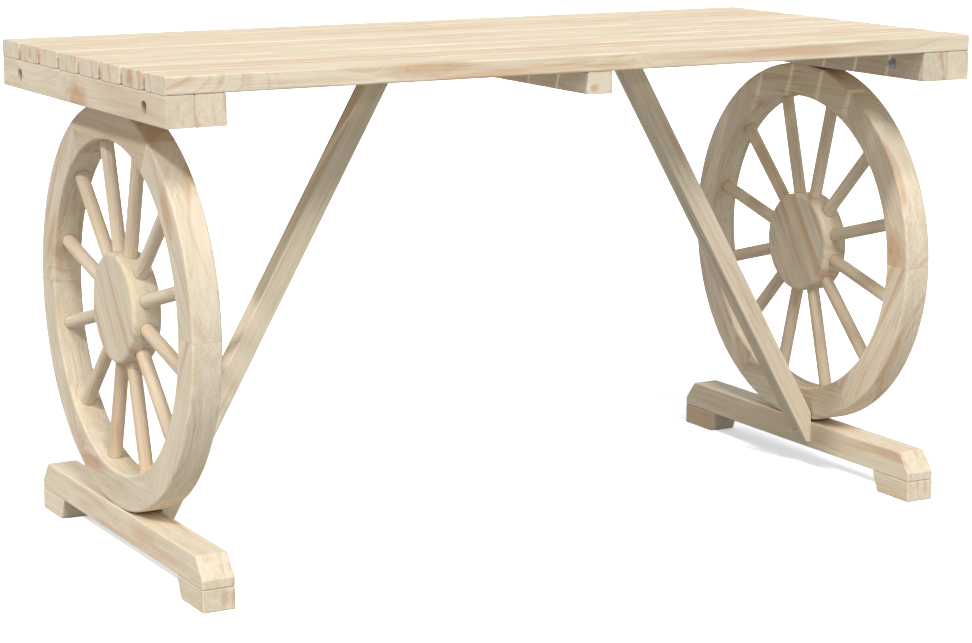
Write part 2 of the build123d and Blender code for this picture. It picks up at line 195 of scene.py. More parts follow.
def knot_group():
    """A small branch sawn across, about Centre in the board's own frame with X along the grain.
    Mask is Depth on the knot and 0 off it. Push is a bell curve of the distance, as high as Reach
    at the middle and all but gone at twice Reach, and moves the rings round the knot."""
    tree, given, result = group_tree(
        "fir_knot",
        [("Place", "NodeSocketVector", None), ("Centre", "NodeSocketVector", None),
         ("Radius", "NodeSocketFloat", 6 * MM), ("Reach", "NodeSocketFloat", 14 * MM),
         ("Depth", "NodeSocketFloat", 0.8)],
        [("Mask", "NodeSocketFloat"), ("Push", "NodeSocketFloat")])
    give = given.outputs
    away = node(tree, "ShaderNodeVectorMath", {0: give["Place"], 1: give["Centre"]}, operation="SUBTRACT")
    distance = node(tree, "ShaderNodeVectorMath", {0: away.outputs[0]}, operation="LENGTH").outputs["Value"]
    ragged = node(tree, "ShaderNodeTexNoise", {"Vector": away.outputs[0], "Scale": 160, "Detail": 2})
    uneven = node(tree, "ShaderNodeMath", {0: ragged.outputs["Fac"], 1: KNOT_RAGGEDNESS, 2: distance},
                  operation="MULTIPLY_ADD").outputs[0]
    inside = node(tree, "ShaderNodeMath", {0: give["Radius"], 1: uneven}, operation="SUBTRACT").outputs[0]
    mask = node(tree, "ShaderNodeMapRange", {"Value": inside, "From Min": -KNOT_EDGE, "From Max": KNOT_EDGE,
                                             "To Min": 0.0, "To Max": give["Depth"]})
    share = node(tree, "ShaderNodeMath", {0: distance, 1: give["Reach"]}, operation="DIVIDE").outputs[0]
    squared = node(tree, "ShaderNodeMath", {0: share, 1: share}, operation="MULTIPLY").outputs[0]
    fall = node(tree, "ShaderNodeMath", {0: squared, 1: -1.0}, operation="MULTIPLY").outputs[0]
    bell = node(tree, "ShaderNodeMath", {0: math.e, 1: fall}, operation="POWER").outputs[0]
    push = node(tree, "ShaderNodeMath", {0: bell, 1: give["Reach"]}, operation="MULTIPLY").outputs[0]
    tree.links.new(mask.outputs[0], result.inputs["Mask"])
    tree.links.new(push, result.inputs["Push"])
    return tree


def fir_group(fir):
    """Planed fir seen from any side. Growth rings are cylinders about the log's heart, bent by slow
    noise; each ring darkens slowly and ends sharply, as latewood does, and no two are as strong or
    as wide. Fine fibre lines and broad pink or pale streaks run along the grain, the X axis of
    Place. Flush adds pink of its own where a patch asks for it. End is 1 where the saw cut across
    the grain: there the lines along it end as faint specks, and the rings show a little fainter."""
    tree, given, result = group_tree(
        "planed_fir",
        [("Place", "NodeSocketVector", None), ("Heart", "NodeSocketVector", None),
         ("Piece", "NodeSocketFloat", 0.0), ("Pink", "NodeSocketFloat", 0.3),
         ("Tone", "NodeSocketFloat", 1.0), ("Push", "NodeSocketFloat", 0.0),
         ("Wander", "NodeSocketFloat", 9 * MM), ("Rings", "NodeSocketFloat", 1.0),
         ("Veins", "NodeSocketFloat", 1.0), ("Flush", "NodeSocketFloat", 0.0),
         ("End", "NodeSocketFloat", 0.0)],
        [("Color", "NodeSocketColor"), ("Height", "NodeSocketFloat")])
    give = given.outputs
    own = node(tree, "ShaderNodeCombineXYZ", {0: give["Piece"], 1: give["Piece"], 2: give["Piece"]})
    shifted = node(tree, "ShaderNodeVectorMath", {0: give["Place"], 1: own.outputs[0]}, operation="ADD")

    def along(spacing, stretch, detail):
        """Noise with features of the given width across the grain and stretch times that along it."""
        scale = (1 / (spacing * stretch), 1 / spacing, 1 / spacing)
        scaled = node(tree, "ShaderNodeVectorMath", {0: shifted.outputs[0], 1: scale}, operation="MULTIPLY")
        return node(tree, "ShaderNodeTexNoise", {"Vector": scaled.outputs[0], "Scale": 1.0,
                                                 "Detail": detail, "Roughness": 0.55}).outputs["Fac"]

    def spread(value, low, high, to_low, to_high):
        return node(tree, "ShaderNodeMapRange", {"Value": value, "From Min": low, "From Max": high,
                                                 "To Min": to_low, "To Max": to_high}).outputs[0]

    # how far the place lies from the log's heart, with slow bends and small waves
    from_heart = node(tree, "ShaderNodeVectorMath", {0: give["Place"], 1: give["Heart"]},
                      operation="SUBTRACT").outputs[0]
    across = node(tree, "ShaderNodeVectorMath", {0: from_heart, 1: (0, 1, 1)},
                  operation="MULTIPLY").outputs[0]
    depth = node(tree, "ShaderNodeVectorMath", {0: across}, operation="LENGTH").outputs["Value"]
    slow = node(tree, "ShaderNodeMath", {0: along(80 * MM, 4, 1), 1: 0.5}, operation="SUBTRACT").outputs[0]
    depth = node(tree, "ShaderNodeMath", {0: slow, 1: give["Wander"], 2: depth},
                 operation="MULTIPLY_ADD").outputs[0]
    for width, stretch, sway in ((22, 6, 5), (6, 9, 1.2)):
        depth = node(tree, "ShaderNodeMath", {0: along(width * MM, stretch, 2), 1: sway * MM, 2: depth},
                     operation="MULTIPLY_ADD").outputs[0]
    depth = node(tree, "ShaderNodeMath", {0: depth, 1: give["Push"]}, operation="ADD").outputs[0]

    # the same in years of uneven growth, and each year's ring
    even_years = node(tree, "ShaderNodeMath", {0: depth, 1: fir.ring_spacing},
                      operation="DIVIDE").outputs[0]
    even_years = node(tree, "ShaderNodeMath", {0: even_years, 1: give["Piece"]},
                      operation="ADD").outputs[0]
    weather = node(tree, "ShaderNodeTexNoise", {"W": even_years, "Scale": WEATHER_SCALE},
                   noise_dimensions="1D")
    years = node(tree, "ShaderNodeMath", {0: weather.outputs["Fac"], 1: WEATHER_SHIFT, 2: even_years},
                 operation="MULTIPLY_ADD").outputs[0]
    season = node(tree, "ShaderNodeMath", {0: years}, operation="FRACT").outputs[0]
    year = node(tree, "ShaderNodeMath", {0: years}, operation="FLOOR").outputs[0]
    late = node(tree, "ShaderNodeFloatCurve", {"Value": season})
    curve = late.mapping.curves[0]
    curve.points[0].location = (0, 0.30)
    curve.points[1].location = (1, 0.30)
    for place in ((0.14, 0.0), (0.45, 0.08), (0.78, 0.75), (0.90, 1.0)):
        curve.points.new(*place)
    late.mapping.update()
    chance = node(tree, "ShaderNodeTexWhiteNoise", {"W": year}, noise_dimensions="1D").outputs["Value"]
    strength = spread(chance, 0.0, 1.0, 0.10, 1.0)
    patchy = spread(along(40 * MM, 5, 1), 0.35, 0.65, 0.45, 1.25)
    ring = node(tree, "ShaderNodeMath", {0: late.outputs[0], 1: strength}, operation="MULTIPLY").outputs[0]
    ring = node(tree, "ShaderNodeMath", {0: ring, 1: patchy}, operation="MULTIPLY").outputs[0]
    contrast = node(tree, "ShaderNodeMath", {0: give["Rings"], 1: fir.ring_contrast},
                    operation="MULTIPLY").outputs[0]
    contrast = node(tree, "ShaderNodeMath", {0: contrast, 1: spread(give["End"], 0.80, 0.95, 1.0, 0.65)},
                    operation="MULTIPLY").outputs[0]
    shown = node(tree, "ShaderNodeMath", {0: ring, 1: contrast}, operation="MULTIPLY",
                 use_clamp=True).outputs[0]

    # pale and pink wood in broad streaks, with the rings between
    streak = along(fir.streak_width, 9, 2)
    base = node(tree, "ShaderNodeMix", {0: spread(streak, 0.50, 0.36, 0.0, 0.8),
                                        6: rgba(fir.earlywood), 7: rgba(fir.sapwood)},
                data_type="RGBA").outputs[2]
    wood = node(tree, "ShaderNodeMix", {0: shown, 6: base, 7: rgba(fir.latewood)},
                data_type="RGBA").outputs[2]
    zone = node(tree, "ShaderNodeTexNoise", {"W": even_years, "Scale": ZONE_SCALE, "Detail": 2},
                noise_dimensions="1D").outputs["Fac"]
    mixed = node(tree, "ShaderNodeMath", {0: streak, 1: zone}, operation="ADD").outputs[0]
    threshold = spread(give["Pink"], 0.0, 1.0, 1.22, 0.86)
    over = node(tree, "ShaderNodeMath", {0: mixed, 1: threshold}, operation="SUBTRACT").outputs[0]
    pink = spread(over, 0.0, 0.24, 0.0, 0.62)
    pink = node(tree, "ShaderNodeMath", {0: pink, 1: give["Flush"]}, operation="MAXIMUM").outputs[0]
    wood = node(tree, "ShaderNodeMix", {0: pink, 6: wood, 7: rgba(fir.heartwood)},
                data_type="RGBA").outputs[2]

    # narrow orange lines, in some places more often than in others
    vein = spread(along(fir.vein_width, 26, 3), 0.50, 0.68, 0.0, fir.vein_contrast)
    often = spread(along(18 * MM, 8, 1), 0.38, 0.60, 0.25, 1.0)
    vein = node(tree, "ShaderNodeMath", {0: vein, 1: often}, operation="MULTIPLY").outputs[0]
    vein = node(tree, "ShaderNodeMath", {0: vein, 1: give["Veins"]}, operation="MULTIPLY").outputs[0]
    vein = node(tree, "ShaderNodeMath", {0: vein, 1: spread(give["End"], 0.10, 0.55, 1.0, 0.12)},
                operation="MULTIPLY", use_clamp=True).outputs[0]
    wood = node(tree, "ShaderNodeMix", {0: vein, 6: wood, 7: rgba(fir.latewood)},
                data_type="RGBA").outputs[2]

    # fibres and bands of them, which shade the wood; fibres and rings make its relief
    fibre = along(fir.fibre_spacing, 30, 2)
    band = along(4 * fir.fibre_spacing, 30, 1)
    shade = node(tree, "ShaderNodeMath", {0: spread(fibre, 0.3, 0.7, 0.94, 1.035),
                                          1: spread(band, 0.3, 0.7, 0.94, 1.035)},
                 operation="MULTIPLY").outputs[0]
    shade = node(tree, "ShaderNodeMath", {0: shade, 1: give["Tone"]}, operation="MULTIPLY").outputs[0]
    shade = node(tree, "ShaderNodeMath", {0: shade, 1: spread(give["End"], 0.0, 1.0, 1.0, 0.96)},
                 operation="MULTIPLY").outputs[0]
    final = node(tree, "ShaderNodeVectorMath", {0: wood, "Scale": shade}, operation="SCALE")
    height = node(tree, "ShaderNodeMath", {0: fibre, 1: 0.6, 2: ring}, operation="MULTIPLY_ADD")
    tree.links.new(final.outputs[0], result.inputs["Color"])
    tree.links.new(height.outputs[0], result.inputs["Height"])
    return tree


def groups():
    """The two shared node groups, made on first use."""
    found = [bpy.data.node_groups.get(name) for name in ("planed_fir", "fir_knot")]
    if None in found:
        found = [fir_group(settings().fir), knot_group()]
    return found


def frame_rotation(grain, across):
    """The turn that lays X along the grain and Y as near as possible to across."""
    x = grain.normalized()
    z = x.cross(across).normalized()
    return Matrix((x, z.cross(x), z)).transposed().to_euler()


def look(heart=(0, 140, 30), piece=0.0, pink=0.3, tone=1.0, wander=9, rings=1.0, veins=1.0,
         knots=(), patches=(), cuts=(), bores=()):
    """How one piece's wood looks. heart is where the log's middle lies beside the piece, and wander
    how far its rings stray, both in mm. piece picks its own stretch of pattern. rings and veins
    scale how plainly each shows. A knot is (along, across, up, radius, reach, darkness) in mm, with
    radius 0 for one that only bends the grain. A patch is (along, across, up, length, width,
    strength) in mm, a flush of pink. cuts are the places along the grain of glued joints and bores
    those of the bolts' recesses, in mm from the middle."""
    return dict(heart=heart, piece=piece, pink=pink, tone=tone, wander=wander, rings=rings,
                veins=veins, knots=knots, patches=patches, cuts=cuts, bores=bores)


def pink_patch(tree, place, x, y, z, length, width, strength):
    """A soft flush of heartwood: full at its middle and gone at half its length or width away."""
    away = node(tree, "ShaderNodeVectorMath", {0: place, 1: (x * MM, y * MM, z * MM)}, operation="SUBTRACT")
    share = (2 / (length * MM), 2 / (width * MM), 2 / (width * MM))
    away = node(tree, "ShaderNodeVectorMath", {0: away.outputs[0], 1: share}, operation="MULTIPLY")
    ragged = node(tree, "ShaderNodeTexNoise", {"Vector": away.outputs[0], "Scale": 2.2,
                                               "Detail": 3}).outputs["Fac"]
    away = node(tree, "ShaderNodeVectorMath", {0: away.outputs[0]}, operation="LENGTH").outputs["Value"]
    away = node(tree, "ShaderNodeMath", {0: ragged, 1: 0.7, 2: away}, operation="MULTIPLY_ADD").outputs[0]
    return node(tree, "ShaderNodeMapRange", {"Value": away, "From Min": 1.35, "From Max": 0.75,
                                             "To Min": 0.0, "To Max": strength}).outputs[0]


def glued_lengths(tree, coordinate, cuts, piece):
    """Shorter lengths glued end to end or side by side. Returns each one's own number for the
    pattern, and 1 on the glue lines between them."""
    number, line = None, None
    for cut in cuts:
        beyond = node(tree, "ShaderNodeMath", {0: coordinate, 1: cut * MM},
                      operation="GREATER_THAN").outputs[0]
        near = node(tree, "ShaderNodeMath", {0: coordinate, 1: cut * MM, 2: GLUE_HALF_WIDTH},
                    operation="COMPARE").outputs[0]
        number = beyond if number is None else node(
            tree, "ShaderNodeMath", {0: number, 1: beyond}, operation="ADD").outputs[0]
        line = near if line is None else node(
            tree, "ShaderNodeMath", {0: line, 1: near}, operation="MAXIMUM").outputs[0]
    own = node(tree, "ShaderNodeMath", {0: number, 1: LENGTH_STEP, 2: piece},
               operation="MULTIPLY_ADD").outputs[0]
    return own, line


def fir_material(name, origin, grain, across, wood_look, seams=None, radial=False, staves=()):
    """Planed, sanded and unfinished fir: pale, dull, with soft rings that stand a little proud."""
    fir = settings().fir
    wood_group, branch_group = groups()
    material = bpy.data.materials.new(name)
    material.use_nodes = True
    tree = material.node_tree
    tree.nodes.clear()
    place = node(tree, "ShaderNodeTexCoord").outputs["Object"]
    place = node(tree, "ShaderNodeMapping", {"Vector": place, "Location": origin,
                                             "Rotation": frame_rotation(grain, across)},
                 vector_type="TEXTURE").outputs[0]
    if radial:
        place = round_the_axle(tree, place)
    faces = node(tree, "ShaderNodeNewGeometry").outputs["Normal"]
    end = node(tree, "ShaderNodeVectorMath", {0: faces, 1: grain.normalized()}, operation="DOT_PRODUCT")
    end = node(tree, "ShaderNodeMath", {0: end.outputs["Value"]}, operation="ABSOLUTE").outputs[0]
    push, masks = None, []
    for x, y, z, radius, reach, darkness in wood_look["knots"]:
        knot = node(tree, "ShaderNodeGroup", node_tree=branch_group)
        tree.links.new(place, knot.inputs["Place"])
        knot.inputs["Centre"].default_value = (x * MM, y * MM, z * MM)
        knot.inputs["Radius"].default_value = radius * MM
        knot.inputs["Reach"].default_value = reach * MM
        knot.inputs["Depth"].default_value = darkness
        if radius:
            masks.append(knot.outputs["Mask"])
        push = knot.outputs["Push"] if push is None else node(
            tree, "ShaderNodeMath", {0: push, 1: knot.outputs["Push"]}, operation="ADD").outputs[0]
    wood = node(tree, "ShaderNodeGroup", node_tree=wood_group)
    tree.links.new(place, wood.inputs["Place"])
    wood.inputs["Heart"].default_value = tuple(v * MM for v in wood_look["heart"])
    wood.inputs["Piece"].default_value = wood_look["piece"]
    wood.inputs["Pink"].default_value = wood_look["pink"]
    wood.inputs["Tone"].default_value = wood_look["tone"]
    wood.inputs["Wander"].default_value = wood_look["wander"] * MM
    wood.inputs["Rings"].default_value = wood_look["rings"]
    wood.inputs["Veins"].default_value = wood_look["veins"]
    if not radial:
        tree.links.new(end, wood.inputs["End"])
    if push is not None:
        tree.links.new(push, wood.inputs["Push"])
    flush = None
    for patch in wood_look["patches"]:
        own = pink_patch(tree, place, *patch)
        flush = own if flush is None else node(
            tree, "ShaderNodeMath", {0: flush, 1: own}, operation="MAXIMUM").outputs[0]
    if flush is not None:
        tree.links.new(flush, wood.inputs["Flush"])
    lines = []
    for cuts, axis in ((wood_look["cuts"], 0), (staves, 1)):
        if cuts:
            parts = node(tree, "ShaderNodeSeparateXYZ", {0: place}).outputs
            own, line = glued_lengths(tree, parts[axis], cuts, wood_look["piece"])
            tree.links.new(own, wood.inputs["Piece"])
            luck = node(tree, "ShaderNodeTexWhiteNoise", {"W": own}, noise_dimensions="1D").outputs["Value"]
            tone = node(tree, "ShaderNodeMapRange", {"Value": luck,
                                                     "To Min": wood_look["tone"] - LENGTH_DARKER,
                                                     "To Max": wood_look["tone"] + LENGTH_PALER})
            tree.links.new(tone.outputs[0], wood.inputs["Tone"])
            lines.append(node(tree, "ShaderNodeMath", {0: line, 1: GLUE_DARKNESS},
                              operation="MULTIPLY").outputs[0])
    colour = wood.outputs["Color"]
    for mask in masks:
        colour = node(tree, "ShaderNodeMix", {0: mask, 6: colour, 7: rgba(fir.knot)},
                      data_type="RGBA").outputs[2]
    if seams:
        lines.append(seams(tree, place))
    # Painted shade inside each bolt's recess, with a little of the drilled wall's darker end grain: all
    # within its radius is darkened, with a soft rim.
    for along_grain in wood_look["bores"]:
        away = node(tree, "ShaderNodeVectorMath", {0: place, 1: (along_grain * MM, 0, 0)},
                    operation="SUBTRACT")
        away = node(tree, "ShaderNodeVectorMath", {0: away.outputs[0], 1: (1, 0, 1)}, operation="MULTIPLY")
        away = node(tree, "ShaderNodeVectorMath", {0: away.outputs[0]}, operation="LENGTH").outputs["Value"]
        lines.append(node(tree, "ShaderNodeMapRange",
                          {"Value": away, "From Min": BORE_RADIUS + BORE_RIM_WIDTH,
                           "From Max": BORE_RADIUS, "To Min": 0.0, "To Max": BORE_PAINTED_SHADE}).outputs[0])
    # Painted shade: wood darkens where an ambient occlusion node finds a crevice between pieces.
    crevice = node(tree, "ShaderNodeAmbientOcclusion", {"Distance": fir.crevice_shade_depth}, samples=4)
    lines.append(node(tree, "ShaderNodeMapRange", {"Value": crevice.outputs["AO"], "From Min": 0.70,
                                                   "From Max": 0.10, "To Min": 0.0,
                                                   "To Max": CREVICE_PAINTED_SHADE}).outputs[0])
    # Lay the joint colour on glue and mitre lines, and as painted shade in recesses and crevices.
    for line in lines:
        colour = node(tree, "ShaderNodeMix", {0: line, 6: colour, 7: rgba(fir.joint)},
                      data_type="RGBA").outputs[2]
    bump = node(tree, "ShaderNodeBump", {"Height": wood.outputs["Height"], "Strength": RELIEF_STRENGTH,
                                         "Distance": RING_RELIEF})
    shader = node(tree, "ShaderNodeBsdfPrincipled", {"Base Color": colour, "Normal": bump.outputs[0],
                                                     "Roughness": fir.roughness,
                                                     "Specular IOR Level": WOOD_GLOSS})
    node(tree, "ShaderNodeOutputMaterial", {"Surface": shader.outputs[0]})
    return material


def round_the_axle(tree, place):
    """Turns a place in a wheel into one whose X runs out from the axle, as every spoke's grain does,
    and whose Y runs round it: the distance from the axle, and the angle times a fixed radius."""
    parts = node(tree, "ShaderNodeSeparateXYZ", {0: place}).outputs
    angle = node(tree, "ShaderNodeMath", {0: parts[1], 1: parts[0]}, operation="ARCTAN2").outputs[0]
    flat = node(tree, "ShaderNodeVectorMath", {0: place, 1: (1, 1, 0)}, operation="MULTIPLY").outputs[0]
    out = node(tree, "ShaderNodeVectorMath", {0: flat}, operation="LENGTH").outputs["Value"]
    side = node(tree, "ShaderNodeMath", {0: angle, 1: SPOKE_MIDDLE_RADIUS}, operation="MULTIPLY").outputs[0]
    return node(tree, "ShaderNodeCombineXYZ", {0: out, 1: side, 2: parts[2]}).outputs[0]


def felloe_seams(tree, place):
    """The dark line at the two mitred ends, which fades over half the joint's width. A felloe's ends
    lie 30 degrees to each side of its middle radius, which is Y here, so their distance is
    Y sin 30 - |X| cos 30."""
    half = FELLOE_ANGLE / 2
    parts = node(tree, "ShaderNodeSeparateXYZ", {0: place}).outputs
    sideways = node(tree, "ShaderNodeMath", {0: parts[0]}, operation="ABSOLUTE").outputs[0]
    part = node(tree, "ShaderNodeMath", {0: sideways, 1: -math.cos(half)}, operation="MULTIPLY").outputs[0]
    gap = node(tree, "ShaderNodeMath", {0: parts[1], 1: math.sin(half), 2: part},
               operation="MULTIPLY_ADD").outputs[0]
    return node(tree, "ShaderNodeMapRange",
                {"Value": gap, "From Min": settings().fir.joint_width / 2, "From Max": 0.0,
                 "To Min": 0.0, "To Max": MITRE_DARKNESS}).outputs[0]


def dress(name, material):
    """Gives a CAD node one material in all its slots."""
    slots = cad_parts[name].data.materials
    if not slots:
        slots.append(material)
    for i in range(len(slots)):
        slots[i] = material
    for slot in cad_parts[name].material_slots:
        slot.material = material


def middle(name):
    """The middle of a CAD node's box."""
    low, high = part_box(name)
    return (low + high) / 2


# In a slat's frame X runs right along the table, Y to the back and Z up.
SLAT_LOOKS = {
    1: look((0, 150, 60), 3.1, 0.25, 0.99, 24, 0.8, 0.9,
            patches=((-236, -31, 4, 150, 36, 0.55), (20, -31, -6, 90, 20, 0.4)),
            knots=((-268, -31, 4, 3, 20, 0.35), (46, -31, 1, 3, 16, 0.35), (406, -2, 11, 3, 14, 0.4),
                   (-600, -31, 120, 0, 130, 0), (640, -31, -50, 0, 70, 0))),
    2: look((0, -170, 30), 7.7, 0.75, 1.0, 16, patches=((-575, 8, 0, 200, 26, 0.9),)),
    3: look((0, 160, -40), 11.3, 0.30, 1.01, 16),
    4: look((0, -150, 20), 17.9, 0.35, 1.0, 16, knots=((291, -2, 11, 3, 14, 0.5),)),
    5: look((0, 170, 50), 23.3, 0.50, 0.99, 16),
    6: look((0, -140, -30), 29.1, 0.40, 1.01, 16, knots=((-442, -6, 11, 4, 18, 0.5),)),
    7: look((0, 180, 30), 31.7, 0.65, 0.99, 16, patches=((-575, -4, 0, 160, 16, 0.7),)),
    8: look((0, -160, 40), 37.3, 0.40, 1.0, 16),
}
# In the frame of a board across the table X runs to the back, Y to the right and Z down.
BORE_RADIUS = 8 * MM
BOLTS = (-213, 213)
RAIL_LOOKS = {
    "left_outer_batten": look((0, 130, 20), 41.1, 0.30, 0.95, 30, 0.5, 0.45, cuts=(42,), bores=BOLTS,
                              knots=((-130, -17, 26, 0, 30, 0),),
                              patches=((6, -17, 12, 84, 60, 0.85), (-150, -17, -4, 300, 60, 0.35))),
    "right_outer_batten": look((0, -150, 20), 43.9, 0.40, 1.0, 14, 0.6, 0.6, bores=BOLTS),
    "left_inner_rail": look((0, 170, -20), 47.7, 0.40, 1.0, 14, 0.6, 0.6),
    # Painted shade: this rail's low tone darkens it for the shade under the table top.
    "right_inner_rail": look((0, -160, 30), 53.3, 0.30, 0.84, 20, 0.5, 0.4),
    "middle_batten": look((0, 190, 20), 59.1, 0.30, 1.01, 14, 0.6, 0.6,
                          patches=((-277, -9, 6, 60, 14, 0.7),)),
}
FOOT_LOOKS = {
    "left_foot_beam": look((0, 190, 30), 61.3, 0.40, 0.99, 26, 0.8, 0.7,
                           knots=((-79, -21, -7, 2, 12, 0.6),), patches=((-90, -21, 0, 120, 30, 0.5),)),
    "right_foot_beam": look((0, -180, 20), 67.9, 0.50, 0.96, 26, 0.8, 0.7),
    "left_front_foot_pad": look((0, 260, 10), 71.1, 0.45, 0.97, 6),
    "left_back_foot_pad": look((0, 240, 10), 73.7, 0.30, 1.0, 6),
    "right_front_foot_pad": look((0, -250, 10), 79.3, 0.45, 0.98, 6),
    "right_back_foot_pad": look((0, -230, 10), 83.9, 0.35, 1.0, 6),
}
# In a felloe's frame X runs along its chord, Y out through its middle and Z to the right.
FELLOE_LOOKS = {
    # Painted shade: the left top felloe's low tone stands for the batten's shadow on it.
    ("left", "top"): dict(pink=0.90, tone=0.88, rings=0.45, veins=0.5,
                          patches=((0, 230, 0, 500, 300, 0.35),)),
    ("left", "upper_front"): dict(pink=0.45, tone=0.95, rings=0.55, veins=0.8,
                                  knots=((2, 229, -19, 3, 14, 0.5),),
                                  patches=((35, 232, -19, 90, 30, 0.8),)),
    ("left", "lower_front"): dict(pink=0.15, tone=0.97),
    ("left", "bottom"): dict(pink=0.10, tone=0.92, rings=0.55,
                             patches=((-90, 216, -19, 120, 26, 0.8), (20, 205, 10, 80, 24, 0.5))),
    ("left", "lower_back"): dict(pink=0.30, tone=0.94, rings=0.55, patches=((115, 205, -10, 70, 40, 0.7),)),
    ("left", "upper_back"): dict(pink=0.60, tone=0.92, rings=0.5, veins=0.7,
                                 knots=((67, 191, -19, 0, 30, 0),),
                                 patches=((60, 215, -19, 110, 24, 0.6),)),
    ("right", "top"): dict(pink=0.60, tone=0.96, rings=0.6),
    ("right", "upper_front"): dict(pink=0.30, tone=0.95, rings=0.6, knots=((-93, 200, -19, 4, 14, 0.5),),
                                   patches=((-95, 203, -19, 90, 60, 0.75),)),
    ("right", "lower_back"): dict(pink=0.45, tone=0.99, knots=((57, 188, -19, 3, 16, 0.4),)),
}
# How pink each wheel's two spokes in a sector are, from the top round by the front.
SPOKE_PINKS = {"left": (0.12, 0.05, 0.30, 0.42, 0.12, 0.18), "right": (0.18, 0.08, 0.22, 0.22, 0.12, 0.15)}
# A flush of pink this long and wide, in mm, covers a whole spoke.
ALL_OVER = 3000
SPOKE_MIDDLE_RADIUS = 0.14
# A hub is drawn as glued staves, which lean to the back by this angle and meet at these places, in
# mm from the middle.
HUB_TILT = math.radians(35)
HUB_STAVES = (-47, -26, -4, 19, 43)


class WHEELTABLE_OT_top_slats(bpy.types.Operator):
    """Finish the eight slats of the top"""
    bl_idname = "wheeltable.top_slats"
    bl_label = "Finish Top Slats"

    def execute(self, context):
        for number, wood_look in SLAT_LOOKS.items():
            name = f"top_slat_{number}"
            dress(name, fir_material(f"planed_fir_{name}", middle(name), ALONG_TABLE, ALONG_FOOT,
                                     wood_look))
        return {"FINISHED"}


class WHEELTABLE_OT_rails_and_battens(bpy.types.Operator):
    """Finish the rails and battens under the slats"""
    bl_idname = "wheeltable.rails_and_battens"
    bl_label = "Finish Rails and Battens"

    def execute(self, context):
        for name, wood_look in RAIL_LOOKS.items():
            dress(name, fir_material(f"planed_fir_{name}", middle(name), ALONG_FOOT, ALONG_TABLE,
                                     wood_look))
        return {"FINISHED"}


class WHEELTABLE_OT_felloes(bpy.types.Operator):
    """Finish the six curved blocks of each wheel's rim"""
    bl_idname = "wheeltable.felloes"
    bl_label = "Finish Felloes"

    def execute(self, context):
        for s, side in enumerate(SIDES):
            centre = middle(f"{side}_wheel_hub")
            for i, place in enumerate(FELLOES):
                angle = i * FELLOE_ANGLE
                outward = Vector((0, -math.sin(angle), math.cos(angle)))
                chord = outward.cross(ALONG_TABLE)
                name = f"{side}_wheel_felloe_{place}"
                wood_look = look((0, 60 + 40 * ((i * 5 + s * 3) % 4), 90 * (-1) ** (i + s)),
                                 101.3 + 13.7 * i + 91.1 * s, 0.30 + 0.1 * ((i + s) % 3),
                                 0.98 - 0.015 * ((i + 2 * s) % 3), 24, 0.75)
                wood_look.update(FELLOE_LOOKS.get((side, place), {}))
                dress(name, fir_material(f"bandsawn_fir_{name}", centre, chord, outward, wood_look,
                                         seams=felloe_seams))
        return {"FINISHED"}


class WHEELTABLE_OT_spokes(bpy.types.Operator):
    """Finish the turned spokes"""
    bl_idname = "wheeltable.spokes"
    bl_label = "Finish Spokes"

    def execute(self, context):
        for s, side in enumerate(SIDES):
            centre = middle(f"{side}_wheel_hub")
            for i, (place, pink) in enumerate(zip(FELLOES, SPOKE_PINKS[side])):
                wood_look = look((0, 90, 120), 201.7 + 37.1 * s + 7.3 * i, pink,
                                 0.975 - 0.01 * (i % 3), 4, 0.7, 0.8,
                                 patches=((0, 0, 0, ALL_OVER, ALL_OVER, pink),))
                name = f"{side}_wheel_spokes_{place}"
                dress(name, fir_material(f"turned_fir_{name}", centre, UP, ALONG_FOOT, wood_look,
                                         radial=True))
        return {"FINISHED"}


class WHEELTABLE_OT_hubs(bpy.types.Operator):
    """Finish the two turned hubs"""
    bl_idname = "wheeltable.hubs"
    bl_label = "Finish Hubs"

    def execute(self, context):
        for s, side in enumerate(SIDES):
            name = f"{side}_wheel_hub"
            grain = Vector((0, math.sin(HUB_TILT), math.cos(HUB_TILT)))
            wood_look = look((0, 220, 60), 241.3 + 17.7 * s, 0.50 + 0.2 * s, 0.94, 12, 0.35, 0.5)
            dress(name, fir_material(f"turned_fir_{name}", middle(name), grain, ALONG_FOOT, wood_look,
                                     staves=HUB_STAVES))
        return {"FINISHED"}


class WHEELTABLE_OT_feet(bpy.types.Operator):
    """Finish the foot beams and the pads under them"""
    bl_idname = "wheeltable.feet"
    bl_label = "Finish Feet"

    def execute(self, context):
        for name, wood_look in FOOT_LOOKS.items():
            dress(name, fir_material(f"planed_fir_{name}", middle(name), ALONG_FOOT, ALONG_TABLE,
                                     wood_look))
        return {"FINISHED"}


class WHEELTABLE_OT_braces(bpy.types.Operator):
    """Finish the two slanting braces"""
    bl_idname = "wheeltable.braces"
    bl_label = "Finish Braces"

    def execute(self, context):
        for s, side in enumerate(SIDES):
            name = f"{side}_brace"
            low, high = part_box(name)
            lean = 1 if side == "left" else -1
            grain = Vector((lean * (high.x - low.x), 0, high.z - low.z))
            wood_look = look((0, 150, 70), 271.9 + 19.3 * s, 0.30, 0.90 + 0.04 * s, 16, 0.6, 0.6)
            dress(name, fir_material(f"planed_fir_{name}", middle(name), grain, ALONG_FOOT, wood_look))
        return {"FINISHED"}


class WHEELTABLE_OT_dowels(bpy.types.Operator):
    """Finish the dowels hidden in the wheel joints and the braces"""
    bl_idname = "wheeltable.dowels"
    bl_label = "Finish Dowels"

    def execute(self, context):
        for name in ("left_wheel_felloe_dowels", "right_wheel_felloe_dowels", "brace_dowels"):
            dress(name, fir_material(f"turned_fir_{name}", middle(name), ALONG_FOOT, UP,
                                     look(piece=301.1, pink=0.1, wander=4)))
        return {"FINISHED"}


